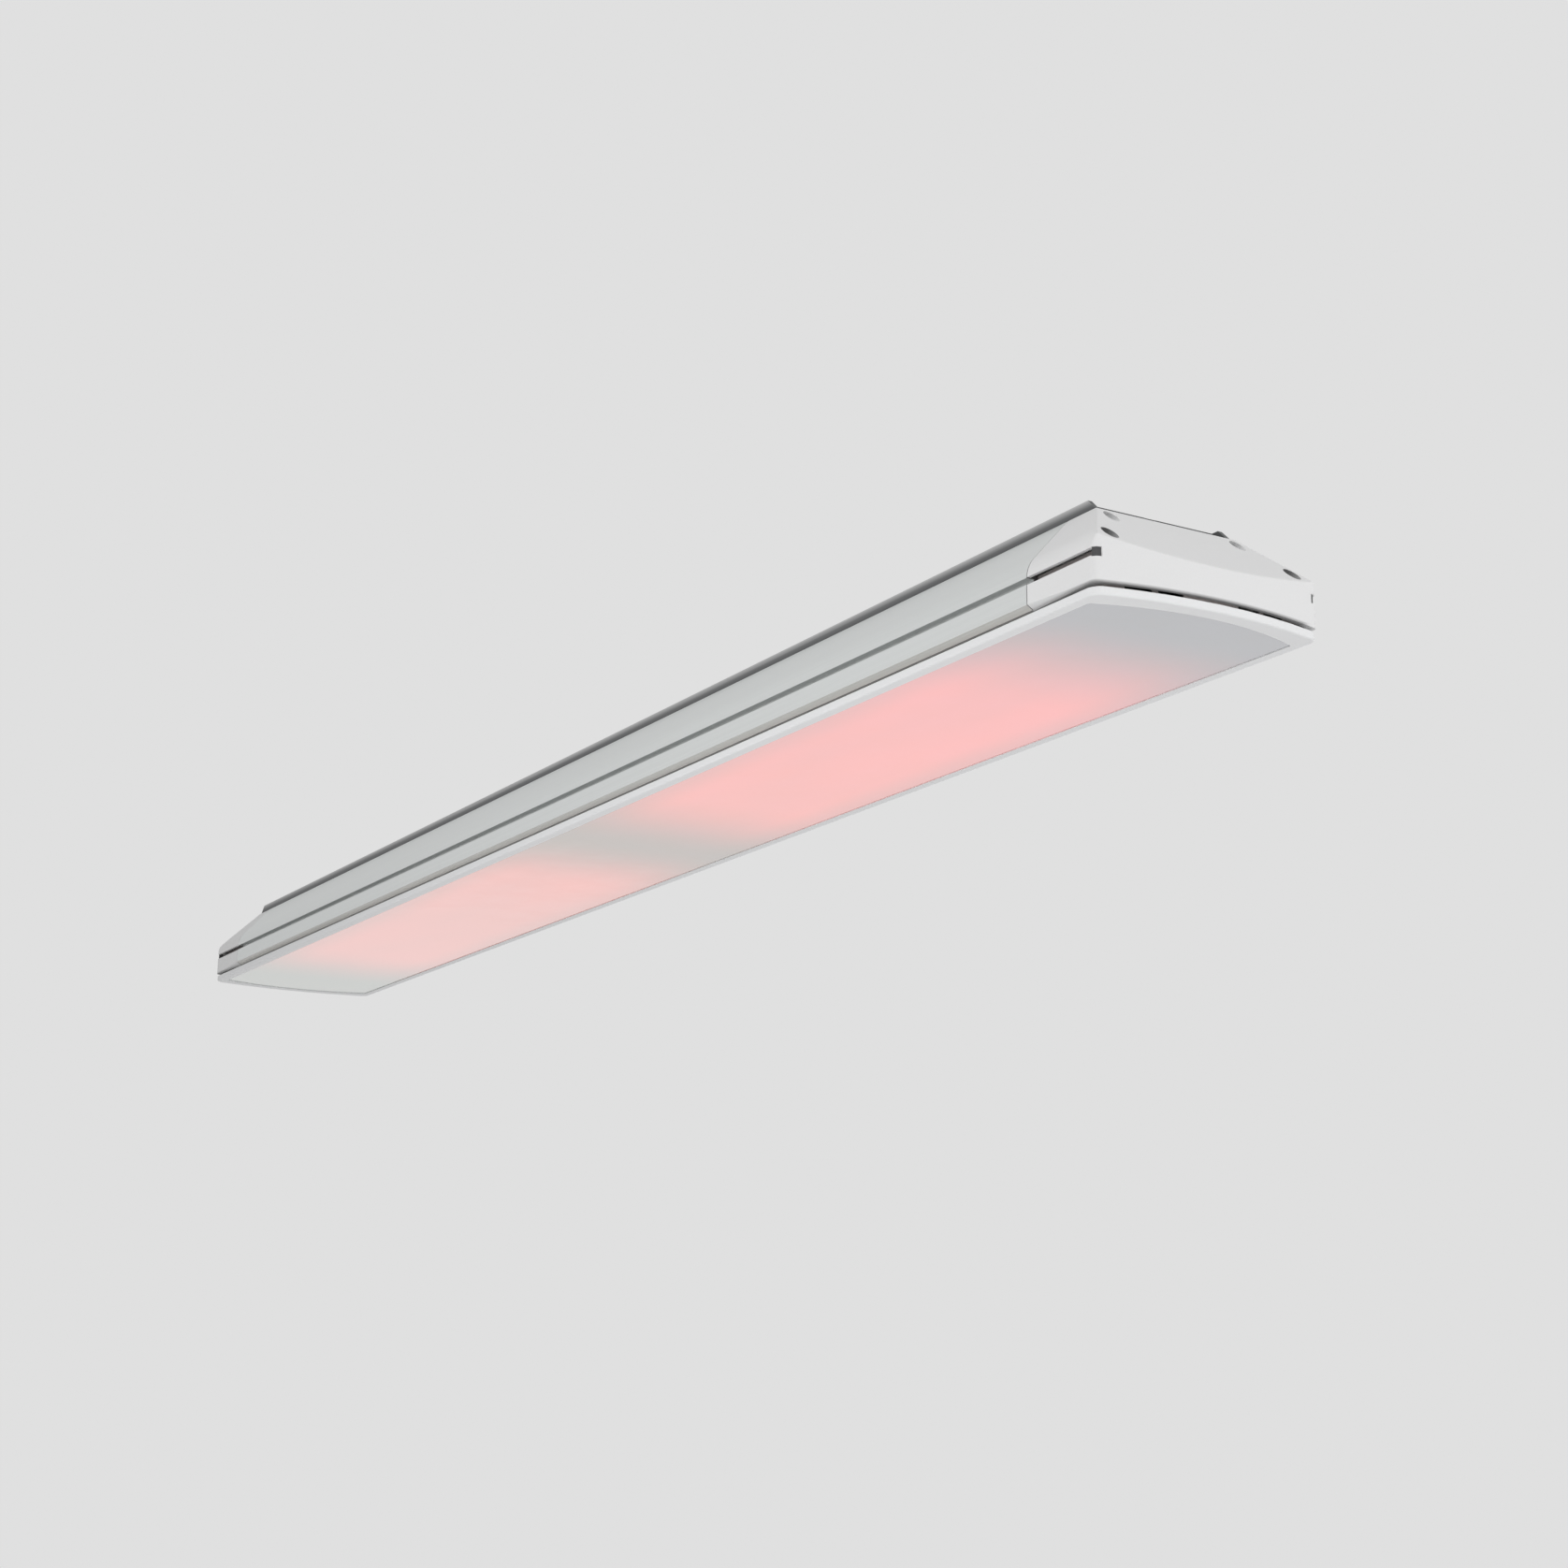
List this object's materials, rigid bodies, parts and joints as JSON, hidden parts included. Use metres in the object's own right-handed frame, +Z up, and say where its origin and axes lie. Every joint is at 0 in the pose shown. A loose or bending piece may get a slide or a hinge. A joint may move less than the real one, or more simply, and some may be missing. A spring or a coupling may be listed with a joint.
{
  "type": "radiant heater",
  "caption": "Long ceiling-hung radiant heater: aluminium housing with side grooves, bowed white end caps, framed translucent glass front and a slotted top rail.",
  "frame": {"origin": "centre of the mounting rail's top plane, in the mouth of its slot, where the heater meets the ceiling", "axes": "+X along the heater, +Y across it, +Z up towards the ceiling; the glass faces -Z"},
  "size_m": [1.5088, 0.168, 0.077],
  "materials": {
    "housing": "fine matt anodised extrusion",
    "cap_white": "satin white powder coat",
    "frame_white": "satin white powder coat",
    "glass": "translucent white glass ceramic, lit from behind",
    "silicone": "matt silicone",
    "tray": "heat-tinted sheet",
    "sheet": "plain sheet",
    "reflector": "bright rolled sheet",
    "quartz": "clear quartz",
    "filament": "carbon ribbon",
    "ceramic": "unglazed steatite",
    "terminal": "moulded",
    "lead": "silicone insulation",
    "earth_lead": "silicone insulation",
    "brass": "plain",
    "screw_steel": "zinc plated",
    "nut_steel": "zinc plated",
    "gland": "moulded polyamide",
    "rail": "dark anodised",
    "plug": "moulded"
  },
  "bodies": {
    "heater": {"housing_profile": "housing", "end_cap_left": "cap_white", "end_cap_right": "cap_white", "cap_gaskets": "silicone", "groove_stops": "plug", "end_cap_screws": "screw_steel", "front_frame": "frame_white", "glass_panel": "glass", "glass_seal": "silicone", "inner_tray": "tray", "frame_rivets": "screw_steel", "tray_screws": "screw_steel", "outer_bulkhead_left": "sheet", "inner_bulkhead_left": "sheet", "inner_bulkhead_right": "sheet", "outer_bulkhead_right": "sheet", "tube_ceramics": "ceramic", "reflector_left": "reflector", "reflector_right": "reflector", "heating_tube_left": "quartz", "heating_tube_right": "quartz", "heating_filament_left": "filament", "heating_filament_right": "filament", "heat_shield": "sheet", "shield_screws": "screw_steel", "terminal_block": "terminal", "terminal_screws": "brass", "thermal_cutout": "terminal", "earth_screw": "brass", "supply_lead": "lead", "cutout_lead": "lead", "return_lead": "lead", "link_lead": "lead", "earth_lead": "earth_lead", "cable_gland": "gland", "gland_nut": "gland", "gland_locknut": "gland", "mounting_rail": "rail", "rail_screws": "screw_steel", "rail_end_plugs": "plug"},
    "left_nut": {"slot_nut_left": "nut_steel"},
    "right_nut": {"slot_nut_right": "nut_steel"}
  },
  "joints": [
    {"name": "left_nut_slide", "type": "slide", "parent": "heater", "child": "left_nut", "axis": [1, 0, 0], "range_m": [-0.2125, 0.43]},
    {"name": "right_nut_slide", "type": "slide", "parent": "heater", "child": "right_nut", "axis": [1, 0, 0], "range_m": [-0.43, 0.2125]}
  ]
}
